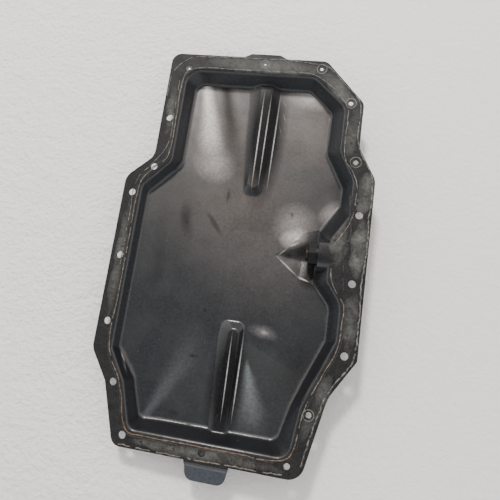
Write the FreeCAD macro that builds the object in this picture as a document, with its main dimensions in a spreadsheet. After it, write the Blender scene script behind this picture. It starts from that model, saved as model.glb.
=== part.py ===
import FreeCAD, Part
import math
import os
import re
import Sketcher
from FreeCAD import Placement, Rotation, Vector

# Pressed-steel lower engine oil pan: one sheet shell with its bolting flange, two stiffening
# beads, a drain hollow and a raised nose over the side drain, plus the parts of the drain.
#
# Frame: millimetres, +Z up. Z = 0 is the sealing face of the flange, X = 0 lies midway between
# the two long bolt rows and Y = 0 is on their middle holes. The hollow opens upwards.

doc = FreeCAD.newDocument("oil_pan")

# ---------------------------------------------------------------- driving dimensions

SIZES = {
    # sheet and press radii
    "sheet": 1.5,
    "wall_step": 1.0,
    "foot_radius": 5.0,
    "rim_radius": 2.5,
    "bead_foot_radius": 3.0,
    "bead_crest_radius": 2.0,
    # rim: the sharp outline where the walls leave the sealing face, by the side it faces
    "rim_left": 104.0,
    "rim_upper_left": 78.0,
    "rim_right": 104.5,
    "rim_upper_right": 89.5,
    "rim_top": 203.5,
    "rim_bottom": 159.5,
    "drain_wall": 90.0,
    # rim corners that are not given by two of the sides above
    "top_right_along": 55.0,
    "upper_right_down": 30.5,
    "waist_right_up": 127.0,
    "shoulder_right_up": 99.0,
    "recess_outer_up": 63.0,
    "recess_inner_up": 40.0,
    "recess_inner_low": 0.0,
    "recess_outer_low": 20.0,
    "lower_right_low": 52.0,
    "taper_right_along": 80.0,
    "taper_right_low": 113.0,
    "bottom_right_along": 75.0,
    "bottom_left_along": 74.0,
    "taper_left_along": 87.0,
    "taper_left_low": 118.0,
    "lower_left_low": 89.0,
    "shoulder_left_up": 75.0,
    "waist_left_up": 101.0,
    # corner radii of the rim, and how much tighter they are at the foot of the walls
    "corner_large": 15.0,
    "corner_medium": 12.0,
    "corner_small": 9.0,
    "corner_soft": 20.0,
    "corner_tighter": 3.0,
    # walls: how far each one runs inwards by the depth wall_reach
    "wall_reach": 32.0,
    "run_left": 10.0,
    "run_upper_left": 15.5,
    "run_top": 14.3,
    "run_upper_right": 22.3,
    "run_right": 13.0,
    "run_drain": 16.3,
    "run_bottom": 18.0,
    # shifts of the lower corners along their walls
    "shift_top_right": 3.5,
    "shift_waist": 6.5,
    "shift_shoulder": 5.0,
    "shift_recess_outer": 23.0,
    "shift_recess_inner": 15.4,
    "shift_small": 4.0,
    "shift_lower_right": 5.8,
    "shift_taper": 14.5,
    "shift_bottom_right": 26.0,
    "shift_bottom_left": 9.6,
    "shift_taper_left": 7.0,
    "shift_shoulder_left": 19.0,
    # floor: a four-sided shallow dish round a level middle
    "floor_depth": 23.0,
    "floor_left": 10.0,
    "floor_right": 27.0,
    "floor_up": 43.0,
    "floor_low": 67.0,
    "floor_round": 6.0,
    "dish_round": 60.0,
    "grade_left": 0.13,
    "grade_right": 0.03,
    "grade_up": 0.04,
    "grade_low": 0.075,
    # top bead: a rib raised from the floor, running from the top wall
    "bead_height": 4.6,
    "top_bead_grade": 2.3,
    "top_bead_level": 25.2,
    "top_bead_end": 79.0,
    "top_bead_start": 215.0,
    "top_bead_left": 4.6,
    "top_bead_left_wall": 14.0,
    "top_bead_right": 15.6,
    "top_bead_right_wall": 22.5,
    "top_crest_end": 87.0,
    "top_crest_left": 0.8,
    "top_crest_left_wall": 0.2,
    "top_crest_right": 10.7,
    "top_crest_right_wall": 12.8,
    # bottom bead: the same, from the bottom wall
    "low_bead_height": 6.0,
    "low_bead_grade": -1.9,
    "low_bead_level": 25.5,
    "low_bead_end": 47.0,
    "low_bead_start": 170.0,
    "low_bead_left": 7.5,
    "low_bead_left_wall": 10.5,
    "low_bead_right": 18.0,
    "low_bead_right_wall": 19.0,
    "low_crest_end": 56.0,
    "low_crest_left": 3.4,
    "low_crest_left_wall": 1.4,
    "low_crest_right": 13.0,
    "low_crest_right_wall": 14.4,
    "bead_end_round": 8.0,
    "bead_middle": 6.0,
    "bead_reach": 26.0,
    "crest_end_round": 4.5,
    # drain hollow: a trough in the floor that widens from a tip to the drain
    "trough_top": 14.0,
    "trough_box": 120.0,
    "trough_rim_round": 1.0,
    "trough_tip_half": 13.0,
    "trough_south": 47.0,
    "trough_north": 66.0,
    "trough_tip": 30.0,
    "trough_tip_depth": 22.6,
    "trough_tip_up": 22.5,
    "trough_middle": 64.0,
    "trough_middle_depth": 27.5,
    "trough_end": 96.0,
    "trough_end_depth": 29.6,
    "trough_line": 20.0,
    "trough_valley_round": 6.0,
    "trough_end_round": 2.0,
    # drain seat, nose over it and the opening
    "drain_up": 25.0,
    "drain_depth": 13.0,
    "seat_face": 79.4,
    "nose_radius": 16.4,
    "nose_length": 10.8,
    "nose_drop": 25.0,
    "drain_hole": 15.0,
    # flange: widths beyond the rim and the corners of its edge
    "flange_left": 18.5,
    "flange_top": 17.5,
    "flange_upper_right": 17.0,
    "flange_right": 20.0,
    "flange_bottom": 15.8,
    "edge_round_small": 6.0,
    "edge_round": 10.0,
    "edge_round_wide": 15.0,
    "edge_round_soft": 35.0,
    "edge_top_right": 11.0,
    "edge_upper_right": 25.5,
    "edge_waist_right": 132.0,
    "edge_shoulder_right": 101.0,
    "edge_lower_right": 68.0,
    "edge_taper_right": 102.5,
    "edge_taper_right_low": 103.0,
    "edge_bottom_right": 86.5,
    "edge_bottom_left": 86.0,
    "edge_taper_left": 104.0,
    "edge_taper_left_low": 120.0,
    "edge_lower_left": 92.0,
    "edge_shoulder_left": 81.0,
    "edge_waist_left": 105.0,
    "ear_middle": 3.0,
    "ear_rise": 4.0,
    "ear_half": 15.0,
    "ear_run": 7.0,
    # pry tab, pressed lower than the flange
    "tab_half": 21.5,
    "tab_middle": 3.2,
    "tab_reach": 17.0,
    "tab_taper": 4.0,
    "tab_round": 8.0,
    "tab_drop": 2.5,
    "tab_slope": 4.0,
    "tab_lead": 1.5,
    "tab_bend": 0.4,
    # bolt holes: how far each lies from the rim beside it
    "bolt_hole": 7.0,
    "row_pitch": 65.0,
    "hole_left_margin": 9.0,
    "hole_right_margin": 8.5,
    "hole_taper_left_margin": 9.0,
    "hole_taper_left_below": 2.0,
    "hole_taper_right_margin": 7.5,
    "hole_taper_right_below": 7.0,
    "hole_bottom_margin": 5.5,
    "hole_bottom_left_out": 4.0,
    "hole_bottom_right_in": 1.0,
    "hole_bottom_middle": 2.0,
    "hole_tab_margin": 7.5,
    "hole_waist_left_margin": 17.0,
    "hole_waist_left_below": 7.0,
    "hole_upper_left_margin": 10.0,
    "hole_upper_left_up": 148.0,
    "hole_top_left_in": 1.0,
    "hole_top_left_margin": 1.0,
    "hole_ear_margin": 11.0,
    "hole_top_right_out": 6.5,
    "hole_top_right_margin": 9.0,
    "hole_upper_right_margin": 4.5,
    "hole_upper_right_above": 4.5,
    "hole_waist_right_margin": 15.0,
    "hole_waist_right_below": 10.0,
    # drain fittings
    "thread": 14.0,
    "thread_gap": 0.05,
    "boss_flats": 19.0,
    "boss_height": 9.0,
    "boss_collar": 10.0,
    "boss_collar_height": 2.0,
    "washer_outer": 21.6,
    "washer_gap": 0.15,
    "washer_thick": 1.5,
    "head_flange": 21.0,
    "head_flange_thick": 2.5,
    "head_flats": 17.0,
    "head_height": 7.0,
    "plug_nose": 2.5,
    "plug_bevel": 1.2,
}

sizes = doc.addObject("Spreadsheet::Sheet", "Sizes")
for row, (alias, number) in enumerate(SIZES.items(), start=1):
    sizes.set("A%d" % row, alias)
    sizes.set("B%d" % row, str(number))
    sizes.setAlias("B%d" % row, alias)
doc.recompute()


# ---------------------------------------------------------------- helpers

def bound(text):
    """Writes the names of sizes in a text as references to the sheet."""
    return re.sub(r"[a-z][a-z_]*[a-z]", lambda m: "Sizes." + m[0] if m[0] in SIZES else m[0], text)


def value(text):
    """The number a text of sizes stands for."""
    return float(sizes.evalExpression(bound(text)))


def outline(name, corners, body=None):
    """A closed outline of straight sides with rounded corners: (label, x, y, radius) each."""
    if body is None:
        sketch = doc.addObject("Sketcher::SketchObject", name)
    else:
        sketch = body.newObject("Sketcher::SketchObject", name)
    count = len(corners)
    points = [Vector(value(x), value(y), 0) for _, x, y, _ in corners]
    radii = [value(r) for *_, r in corners]
    turns = []
    for i in range(count):
        back = (points[i - 1] - points[i]).normalize()
        ahead = (points[(i + 1) % count] - points[i]).normalize()
        half = math.acos(back.dot(ahead)) / 2
        start = points[i] + back * (radii[i] / math.tan(half))
        end = points[i] + ahead * (radii[i] / math.tan(half))
        centre = points[i] + (back + ahead).normalize() * (radii[i] / math.sin(half))
        turns.append((start, end, centre, back.cross(ahead).z < 0))
    shapes = []
    for i, (start, end, centre, left) in enumerate(turns):
        first, last = (start, end) if left else (end, start)
        angles = [math.atan2(p.y - centre.y, p.x - centre.x) for p in (first, last)]
        circle = Part.Circle(centre, Vector(0, 0, 1), radii[i])
        shapes.append(Part.ArcOfCircle(circle, *angles))
        shapes.append(Part.LineSegment(end, turns[(i + 1) % count][0]))
    sketch.addGeometry(shapes, False)
    marks = sketch.addGeometry([Part.Point(p) for p in points], True)
    for i, (label, x, y, radius) in enumerate(corners):
        arc = 2 * i
        before = (arc - 1) % (2 * count)
        near, far = (1, 2) if turns[i][3] else (2, 1)
        for pair in ((before, 2, arc, near), (arc, far, arc + 1, 1)):
            sketch.addConstraint(Sketcher.Constraint("Tangent", *pair))
        for line in (before, arc + 1):
            sketch.addConstraint(Sketcher.Constraint("PointOnObject", marks[i], 1, line))
        driven = (
            ("Radius", (arc, radii[i]), radius, "_round"),
            ("DistanceX", (-1, 1, marks[i], 1, points[i].x), x, "_along"),
            ("DistanceY", (-1, 1, marks[i], 1, points[i].y), y, "_up"),
        )
        for kind, numbers, text, ending in driven:
            index = sketch.addConstraint(Sketcher.Constraint(kind, *numbers))
            sketch.renameConstraint(index, label + ending)
            sketch.setExpression("Constraints." + label + ending, bound(text))
    return sketch


def link(item, **texts):
    """Ties properties of an item to texts of sizes; __ stands for a dot in a property's name."""
    for name, text in texts.items():
        item.setExpression(name.replace("__", "."), bound(text))
    return item


def loft(name, *sections):
    """A straight-sided solid through the sections."""
    solid = doc.addObject("Part::Loft", name)
    solid.Sections = list(sections)
    solid.Solid = True
    solid.Ruled = True
    return solid


def grown(name, sketch):
    """The sketch's outline one wall step further out, for the outside of the sheet."""
    wider = doc.addObject("Part::Offset2D", name)
    wider.Source = sketch
    return link(wider, Value="wall_step")


def lowered(name, *sections):
    """The same solid one sheet lower, for the underside of the sheet."""
    return link(loft(name, *sections), Placement__Base__z="-sheet")


def joined(name, *items):
    """One solid from several."""
    whole = doc.addObject("Part::MultiFuse", name)
    whole.Shapes = list(items)
    whole.Refine = False
    return whole


def shared(name, first, second):
    """What two solids have in common."""
    part = doc.addObject("Part::Common", name)
    part.Base = first
    part.Tool = second
    part.Refine = False
    return part


def less(name, first, second):
    """The first solid without the second."""
    part = doc.addObject("Part::Cut", name)
    part.Base = first
    part.Tool = second
    part.Refine = False
    return part


def box(name, length, width, height, along, up, level):
    """A box from its lowest corner."""
    item = doc.addObject("Part::Box", name)
    link(item, Length=length, Width=width, Height=height)
    return link(item, Placement__Base__x=along, Placement__Base__y=up, Placement__Base__z=level)


XY_PLANE = 3
YZ_PLANE = 5


def padded(name, corners, plane, thickness, middle=False):
    """A plate from an outline on one of the body's own planes."""
    body = doc.addObject("PartDesign::Body", name)
    sketch = outline(name + "_outline", corners, body)
    sketch.AttachmentSupport = (body.Origin.OriginFeatures[plane], [""])
    sketch.MapMode = "FlatFace"
    plate = body.newObject("PartDesign::Pad", name + "_plate")
    plate.Profile = sketch
    plate.Reversed = not middle
    plate.Midplane = middle
    link(plate, Length=thickness)
    doc.recompute()
    return body


def body_from(name, item):
    """A body that goes on from a solid made so far."""
    body = doc.addObject("PartDesign::Body", name)
    body.BaseFeature = item
    doc.recompute()
    return body


def rounded(body, name, text, chosen):
    """A fillet on the edges of the body's tip that the test picks."""
    base = body.Tip
    names = ["Edge%d" % n for n, e in enumerate(base.Shape.Edges, start=1) if chosen(base.Shape, e)]
    fillet = body.newObject("PartDesign::Fillet", name)
    fillet.Base = (base, names)
    link(fillet, Radius=text)
    doc.recompute()
    return fillet


def normals(shape, edge):
    """The outward directions of the two faces that meet on an edge, at its middle."""
    middle = edge.valueAt((edge.FirstParameter + edge.LastParameter) / 2)
    faces = shape.ancestorsOfType(edge, Part.Face)
    return [face.normalAt(*face.Surface.parameter(middle)) for face in faces]


def levels(edge):
    """The heights of an edge at its ends and its middle."""
    ends = (edge.FirstParameter, (edge.FirstParameter + edge.LastParameter) / 2, edge.LastParameter)
    return [edge.valueAt(t).z for t in ends]


# ---------------------------------------------------------------- walls

RIM = (
    ("top_left", "-rim_upper_left", "rim_top", "corner_large"),
    ("top_right", "top_right_along", "rim_top", "corner_medium"),
    ("upper_right", "rim_upper_right", "rim_top - upper_right_down", "corner_medium"),
    ("waist_right", "rim_upper_right", "waist_right_up", "corner_large"),
    ("shoulder_right", "rim_right", "shoulder_right_up", "corner_medium"),
    ("recess_outer_up", "rim_right", "recess_outer_up", "corner_small"),
    ("recess_inner_up", "drain_wall", "recess_inner_up", "corner_small"),
    ("recess_inner_low", "drain_wall", "recess_inner_low", "corner_medium"),
    ("recess_outer_low", "rim_right", "-recess_outer_low", "corner_soft"),
    ("lower_right", "rim_right", "-lower_right_low", "corner_small"),
    ("taper_right", "taper_right_along", "-taper_right_low", "corner_soft"),
    ("bottom_right", "bottom_right_along", "-rim_bottom", "corner_medium"),
    ("bottom_left", "-bottom_left_along", "-rim_bottom", "corner_small"),
    ("taper_left", "-taper_left_along", "-taper_left_low", "corner_small"),
    ("lower_left", "-rim_left", "-lower_left_low", "corner_small"),
    ("shoulder_left", "-rim_left", "shoulder_left_up", "corner_small"),
    ("waist_left", "-rim_upper_left", "waist_left_up", "corner_large"),
)

# where each corner has moved to at the depth wall_reach
FOOT_SHIFTS = {
    "top_left": (" + run_upper_left", " - run_top"),
    "top_right": (" - shift_top_right", " - run_top"),
    "upper_right": (" - run_upper_right", ""),
    "waist_right": (" - run_upper_right", " + shift_waist"),
    "shoulder_right": (" - run_right", " - shift_shoulder"),
    "recess_outer_up": (" - run_right", " + shift_recess_outer"),
    "recess_inner_up": (" - run_drain", " + shift_recess_inner"),
    "recess_inner_low": (" - run_drain", " - shift_small"),
    "recess_outer_low": (" - run_right", " - shift_small"),
    "lower_right": (" - run_right", " - shift_lower_right"),
    "taper_right": (" - shift_taper", " - shift_lower_right"),
    "bottom_right": (" - shift_bottom_right", " + run_bottom"),
    "bottom_left": (" + shift_bottom_left", " + run_bottom"),
    "taper_left": (" + run_upper_left", " + shift_taper_left"),
    "lower_left": (" + run_left", ""),
    "shoulder_left": (" + run_left", " - shift_shoulder_left"),
    "waist_left": (" + run_upper_left", " + shift_small"),
}
FOOT = [
    (label, x + FOOT_SHIFTS[label][0], y + FOOT_SHIFTS[label][1], radius + " - corner_tighter")
    for label, x, y, radius in RIM
]
rim = outline("Rim_outline", RIM)
foot = link(outline("Foot_outline", FOOT), Placement__Base__z="-wall_reach")
walls_inside = loft("Walls_inside", rim, foot)
walls_outside = lowered("Walls_outside", grown("Rim_grown", rim), grown("Foot_grown", foot))


# ---------------------------------------------------------------- floor

def four_sided(name, left, right, low, up, radius):
    """A rectangle with rounded corners, by the places of its sides."""
    return outline(name, (
        ("up_left", left, up, radius),
        ("up_right", right, up, radius),
        ("low_right", right, low, radius),
        ("low_left", left, low, radius),
    ))


middle = link(
    four_sided("Floor_middle", "-floor_left", "floor_right", "-floor_low", "floor_up", "floor_round"),
    Placement__Base__z="-floor_depth",
)
brim = four_sided(
    "Floor_brim",
    "-floor_left - floor_depth / grade_left",
    "floor_right + floor_depth / grade_right",
    "-floor_low - floor_depth / grade_low",
    "floor_up + floor_depth / grade_up",
    "dish_round",
)


def is_foot(shape, edge):
    """Whether an edge is where a wall stands on the floor."""
    steep = [abs(normal.z) < 0.8 for normal in normals(shape, edge)]
    return max(levels(edge)) < -5 and len(steep) == 2 and steep[0] != steep[1]


cavity = body_from("Cavity", shared("Cavity_sharp", walls_inside, loft("Floor_inside", middle, brim)))
rounded(cavity, "Foot_round_inside", "foot_radius", is_foot)
press = body_from("Press", shared("Press_sharp", walls_outside, lowered("Floor_outside", middle, brim)))
rounded(press, "Foot_round_outside", "foot_radius + sheet", is_foot)


# ---------------------------------------------------------------- drain hollow

UPRIGHT = Rotation(Vector(1, 1, 1), 120)


def trough_section(name, along, south, north, valley, depth):
    """A V across the trough, standing in a plane square to X."""
    section = outline(name, (
        ("south", south, "-trough_top", "trough_rim_round"),
        ("valley", valley, "-" + depth, "trough_valley_round"),
        ("north", north, "-trough_top", "trough_rim_round"),
    ))
    section.Placement = Placement(Vector(), UPRIGHT)
    return link(section, Placement__Base__x=along)


trough_sections = (
    trough_section(
        "Trough_tip", "trough_tip", "trough_tip_up - trough_tip_half", "trough_tip_up + trough_tip_half",
        "trough_tip_up", "trough_tip_depth",
    ),
    trough_section(
        "Trough_middle", "trough_middle", "trough_line - trough_south", "trough_line + trough_north",
        "trough_line", "trough_middle_depth",
    ),
    trough_section(
        "Trough_end", "trough_end", "trough_line - trough_south", "trough_line + trough_north",
        "trough_line", "trough_end_depth",
    ),
)


def is_trough_end(shape, edge):
    """Whether an edge is where the upright end of the trough stands on its flanks."""
    facing = [normal.x > 0.99 for normal in normals(shape, edge)]
    below = [normal.z < -0.9 for normal in normals(shape, edge)]
    return True in facing and True in below


def trough(name, solid, end):
    """The trough up to the plane of the drain seat, its end rounded."""
    reach = box(
        name + "_reach", end, "trough_box", "trough_box", "0", "drain_up - trough_box / 2", "-trough_box",
    )
    body = body_from(name, shared(name + "_sharp", solid, reach))
    rounded(body, name + "_round", "trough_end_round", is_trough_end)
    return body


trough_inside = trough("Trough_inside", loft("Trough_loft", *trough_sections), "seat_face")
trough_outside = trough("Trough_outside", lowered("Trough_loft_low", *trough_sections), "seat_face + sheet")


# ---------------------------------------------------------------- stiffening beads

def bead_outline(name, corners, radius, height, start, slope):
    """One outline of a bead in the plane that follows the floor, height above its foot."""
    sketch = outline(name, [(label, x, y, radius) for label, x, y in corners])
    sketch.Placement = Placement(Vector(), Rotation(Vector(1, 0, 0), 1))
    return link(
        sketch,
        Placement__Base__z=height + " - " + start,
        Placement__Rotation__Angle=slope,
    )


def bead(name, foot_corners, crest_corners, height, level, slope):
    """A bead between its foot and crest outlines."""
    sections = (
        bead_outline(name + "_foot", foot_corners, "bead_end_round", "0", level, slope),
        bead_outline(name + "_crest", crest_corners, "crest_end_round", height, level, slope),
    )
    return loft(name + "_inside", *sections), lowered(name + "_outside", *sections)


top_bead = bead(
    "Top_bead",
    (
        ("wall_left", "-top_bead_left_wall", "top_bead_start"),
        ("wall_right", "top_bead_right_wall", "top_bead_start"),
        ("end_right", "top_bead_right", "top_bead_end"),
        ("end_left", "-top_bead_left", "top_bead_end"),
    ),
    (
        ("wall_left", "top_crest_left_wall", "top_bead_start"),
        ("wall_right", "top_crest_right_wall", "top_bead_start"),
        ("end_right", "top_crest_right", "top_crest_end"),
        ("end_left", "top_crest_left", "top_crest_end"),
    ),
    "bead_height", "top_bead_level", "top_bead_grade",
)
low_bead = bead(
    "Low_bead",
    (
        ("end_left", "-low_bead_left", "-low_bead_end"),
        ("end_right", "low_bead_right", "-low_bead_end"),
        ("wall_right", "low_bead_right_wall", "-low_bead_start"),
        ("wall_left", "-low_bead_left_wall", "-low_bead_start"),
    ),
    (
        ("end_left", "low_crest_left", "-low_crest_end"),
        ("end_right", "low_crest_right", "-low_crest_end"),
        ("wall_right", "low_crest_right_wall", "-low_bead_start"),
        ("wall_left", "low_crest_left_wall", "-low_bead_start"),
    ),
    "low_bead_height", "low_bead_level", "low_bead_grade",
)


def is_bead_edge(crest):
    """Picks the edges along the crests of the beads, or those along their feet."""
    def chosen(shape, edge):
        middle = edge.valueAt((edge.FirstParameter + edge.LastParameter) / 2)
        over = abs(middle.x - value("bead_middle")) < value("bead_reach")
        wall_up = value("rim_top - run_top")
        wall_low = value("run_bottom - rim_bottom")
        clear = wall_low < middle.y < -value("floor_up") or value("floor_up") < middle.y < wall_up
        slopes = [abs(normal.z) for normal in normals(shape, edge)]
        if not (over and clear and len(slopes) == 2 and min(slopes) < 0.92 and max(slopes) > 0.98):
            return False
        faces = shape.ancestorsOfType(edge, Part.Face)
        flank = faces[slopes.index(min(slopes))]
        return (middle.z > flank.CenterOfMass.z) == crest
    return chosen


def beaded(name, floor, beads, crest_radius, foot_radius):
    """The floor with the beads taken out of it, their crests and feet rounded."""
    body = body_from(name, less(name + "_sharp", floor, joined(name + "_beads", *beads)))
    rounded(body, name + "_crests", crest_radius, is_bead_edge(True))
    rounded(body, name + "_feet", foot_radius, is_bead_edge(False))
    return body


hollow = beaded(
    "Hollow", joined("Bottom_inside", cavity, trough_inside), (top_bead[0], low_bead[0]),
    "bead_crest_radius + sheet", "bead_foot_radius",
)
underside = beaded(
    "Underside", joined("Bottom_outside", press, trough_outside), (top_bead[1], low_bead[1]),
    "bead_crest_radius", "bead_foot_radius + sheet",
)


# ---------------------------------------------------------------- flange and tab

EDGE = (
    ("top_left", "-rim_upper_left - flange_left", "rim_top + flange_top", "edge_round"),
    ("ear_left_low", "ear_middle - ear_half - ear_run", "rim_top + flange_top", "edge_round_small"),
    ("ear_left", "ear_middle - ear_half", "rim_top + flange_top + ear_rise", "edge_round_small"),
    ("ear_right", "ear_middle + ear_half", "rim_top + flange_top + ear_rise", "edge_round_small"),
    ("ear_right_low", "ear_middle + ear_half + ear_run", "rim_top + flange_top", "edge_round_small"),
    ("top_right", "top_right_along + edge_top_right", "rim_top + flange_top", "edge_round"),
    ("upper_right", "rim_upper_right + flange_upper_right", "rim_top - edge_upper_right", "edge_round"),
    ("waist_right", "rim_upper_right + flange_upper_right", "edge_waist_right", "edge_round_wide"),
    ("shoulder_right", "rim_right + flange_right", "edge_shoulder_right", "edge_round_wide"),
    ("lower_right", "rim_right + flange_right", "-edge_lower_right", "edge_round_small"),
    ("taper_right", "edge_taper_right", "-edge_taper_right_low", "edge_round_soft"),
    ("bottom_right", "edge_bottom_right", "-rim_bottom - flange_bottom", "edge_round_wide"),
    ("bottom_left", "-edge_bottom_left", "-rim_bottom - flange_bottom", "edge_round"),
    ("taper_left", "-edge_taper_left", "-edge_taper_left_low", "edge_round_small"),
    ("lower_left", "-rim_left - flange_left", "-edge_lower_left", "edge_round_wide"),
    ("shoulder_left", "-rim_left - flange_left", "edge_shoulder_left", "edge_round_wide"),
    ("waist_left", "-rim_upper_left - flange_left", "edge_waist_left", "edge_round_wide"),
)

flange = padded("Flange", EDGE, XY_PLANE, "sheet")
TAB_ROOT = "-rim_bottom - flange_bottom"
tab_plan = padded("Tab_plan", (
    ("root_left", "tab_middle - tab_half", TAB_ROOT + " + tab_slope", "tab_bend"),
    ("end_left", "tab_middle - tab_half + tab_taper", TAB_ROOT + " - tab_reach", "tab_round"),
    ("end_right", "tab_middle + tab_half - tab_taper", TAB_ROOT + " - tab_reach", "tab_round"),
    ("root_right", "tab_middle + tab_half", TAB_ROOT + " + tab_slope", "tab_bend"),
), XY_PLANE, "tab_reach")
tab_side = padded("Tab_side", (
    ("root_up", TAB_ROOT + " + tab_slope", "0", "tab_bend"),
    ("bend_up", TAB_ROOT + " - tab_lead", "0", "tab_bend"),
    ("drop_up", TAB_ROOT + " - tab_lead - tab_slope", "-tab_drop", "tab_bend"),
    ("end_up", TAB_ROOT + " - tab_reach - tab_slope", "-tab_drop", "tab_bend"),
    ("end_low", TAB_ROOT + " - tab_reach - tab_slope", "-tab_drop - sheet", "tab_bend"),
    ("drop_low", TAB_ROOT + " - tab_lead - tab_slope", "-tab_drop - sheet", "tab_bend"),
    ("bend_low", TAB_ROOT + " - tab_lead", "-sheet", "tab_bend"),
    ("root_low", TAB_ROOT + " + tab_slope", "-sheet", "tab_bend"),
), YZ_PLANE, "tab_half * 4", True)
tab = shared("Tab", tab_plan, tab_side)


# ---------------------------------------------------------------- pressed sheet

def is_rim(level):
    """Picks the edges where the walls meet the flange at one level."""
    def chosen(shape, edge):
        slopes = sorted(abs(normal.z) for normal in normals(shape, edge))
        flat = max(abs(z + value(level)) for z in levels(edge)) < 0.001
        return flat and len(slopes) == 2 and 0.1 < slopes[0] < 0.8 and slopes[1] > 0.99
    return chosen


pressing = body_from("Pressing", less("Pressing_sharp", joined("Pressing_full", flange, underside), hollow))
rounded(pressing, "Rim_inside", "rim_radius + sheet", is_rim("0"))
rounded(pressing, "Rim_outside", "rim_radius", is_rim("sheet"))


# ---------------------------------------------------------------- nose over the side drain

def nose(name, radius, face):
    """The rounded form of the nose from its upright face outwards, open below."""
    depth = "seat_face + nose_length - (" + face + ")"
    centre = {
        "Placement__Base__x": "seat_face + nose_length",
        "Placement__Base__y": "drain_up",
        "Placement__Base__z": "-drain_depth",
    }
    barrel = link(doc.addObject("Part::Cylinder", name + "_barrel"), Radius=radius, Height=depth)
    barrel.Placement = Placement(Vector(), ALONG)
    link(barrel, **{**centre, "Placement__Base__x": face})
    dome = link(doc.addObject("Part::Sphere", name + "_dome"), Radius=radius)
    dome.Placement = Placement(Vector(), OUTER_HALF)
    dome.Angle3 = 180
    link(dome, **centre)
    skirt = box(
        name + "_skirt", depth, "(" + radius + ") * 2", "nose_drop",
        face, "drain_up - (" + radius + ")", "-drain_depth - nose_drop",
    )
    end = link(doc.addObject("Part::Cylinder", name + "_end"), Radius=radius, Height="nose_drop")
    end.Placement = Placement(Vector(), OUTER_HALF)
    end.Angle = 180
    link(end, **{**centre, "Placement__Base__z": "-drain_depth - nose_drop"})
    return joined(name, barrel, dome, skirt, end)


ALONG = Rotation(Vector(0, 1, 0), 90)
OUTER_HALF = Rotation(Vector(0, 0, 1), -90)


def on_drain_axis(item, start, **texts):
    """Turns a part drawn along its own Z onto the axis of the drain, from a place along X."""
    item.Placement = Placement(Vector(), ALONG)
    return link(
        item, Placement__Base__x=start, Placement__Base__y="drain_up", Placement__Base__z="-drain_depth",
        **texts,
    )


nose_outer = nose("Nose_outer", "nose_radius", "seat_face")
nose_inner = nose("Nose_inner", "nose_radius - sheet", "seat_face + sheet")
above = box(
    "Above_underside", "nose_radius * 3", "nose_radius * 4", "nose_radius", "seat_face - nose_radius",
    "drain_up - nose_radius * 2", "-sheet",
)
nose_skin = shared("Nose_skin", nose_outer, joined("Nose_limits", underside, above))
drain_hole = on_drain_axis(
    doc.addObject("Part::Cylinder", "Drain_hole"), "seat_face - sheet",
    Radius="drain_hole / 2", Height="sheet * 3",
)
with_nose = less(
    "With_nose", joined("With_nose_full", pressing, nose_skin, tab),
    joined("Drain_space", nose_inner, drain_hole),
)


# ---------------------------------------------------------------- pan shell

LEFT_ROW = "-rim_left - hole_left_margin"
RIGHT_ROW = "rim_right + hole_right_margin"
BOTTOM_ROW = "-rim_bottom - hole_bottom_margin"
HOLES = (
    ("row_left_up", LEFT_ROW, "row_pitch"),
    ("row_left_middle", LEFT_ROW, "0"),
    ("row_left_low", LEFT_ROW, "-row_pitch"),
    ("row_right_up", RIGHT_ROW, "row_pitch"),
    ("row_right_middle", RIGHT_ROW, "0"),
    ("row_right_low", RIGHT_ROW, "-row_pitch"),
    ("taper_left", "-taper_left_along - hole_taper_left_margin", "-taper_left_low - hole_taper_left_below"),
    ("taper_right", "taper_right_along + hole_taper_right_margin",
     "-taper_right_low - hole_taper_right_below"),
    ("bottom_left", "-bottom_left_along - hole_bottom_left_out", BOTTOM_ROW),
    ("bottom_middle", "-hole_bottom_middle", "-rim_bottom - hole_tab_margin"),
    ("bottom_right", "bottom_right_along - hole_bottom_right_in", BOTTOM_ROW),
    ("waist_left", "-rim_upper_left - hole_waist_left_margin", "waist_left_up - hole_waist_left_below"),
    ("upper_left", "-rim_upper_left - hole_upper_left_margin", "hole_upper_left_up"),
    ("top_left", "-rim_upper_left + hole_top_left_in", "rim_top + hole_top_left_margin"),
    ("ear", "ear_middle", "rim_top + hole_ear_margin"),
    ("top_right", "top_right_along + hole_top_right_out", "rim_top + hole_top_right_margin"),
    ("upper_right", "rim_upper_right + hole_upper_right_margin",
     "rim_top - upper_right_down + hole_upper_right_above"),
    ("waist_right", "rim_upper_right + hole_waist_right_margin",
     "waist_right_up - hole_waist_right_below"),
)

pan_shell = body_from("pan_shell", with_nose)
hole_plan = pan_shell.newObject("Sketcher::SketchObject", "Bolt_hole_plan")
hole_plan.AttachmentSupport = (pan_shell.Origin.OriginFeatures[XY_PLANE], [""])
hole_plan.MapMode = "FlatFace"
for label, x, y in HOLES:
    place = Vector(value(x), value(y), 0)
    circle = hole_plan.addGeometry(Part.Circle(place, Vector(0, 0, 1), value("bolt_hole / 2")), False)
    driven = (
        ("Diameter", (circle, value("bolt_hole")), "bolt_hole", "_wide"),
        ("DistanceX", (-1, 1, circle, 3, place.x), x, "_along"),
        ("DistanceY", (-1, 1, circle, 3, place.y), y, "_up"),
    )
    for kind, numbers, text, ending in driven:
        index = hole_plan.addConstraint(Sketcher.Constraint(kind, *numbers))
        hole_plan.renameConstraint(index, label + ending)
        hole_plan.setExpression("Constraints." + label + ending, bound(text))
solid_before = pan_shell.Shape.Volume
bolt_holes = pan_shell.newObject("PartDesign::Pocket", "Bolt_holes")
bolt_holes.Profile = hole_plan
bolt_holes.Refine = False
link(bolt_holes, Length="sheet * 2")
doc.recompute()
removed = len(HOLES) * math.pi * value("bolt_hole / 2") ** 2 * value("sheet")
if abs(solid_before - pan_shell.Shape.Volume - removed) > 0.01 * removed:
    raise ValueError("the bolt holes do not go through the flange")


# ---------------------------------------------------------------- drain fittings

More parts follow.
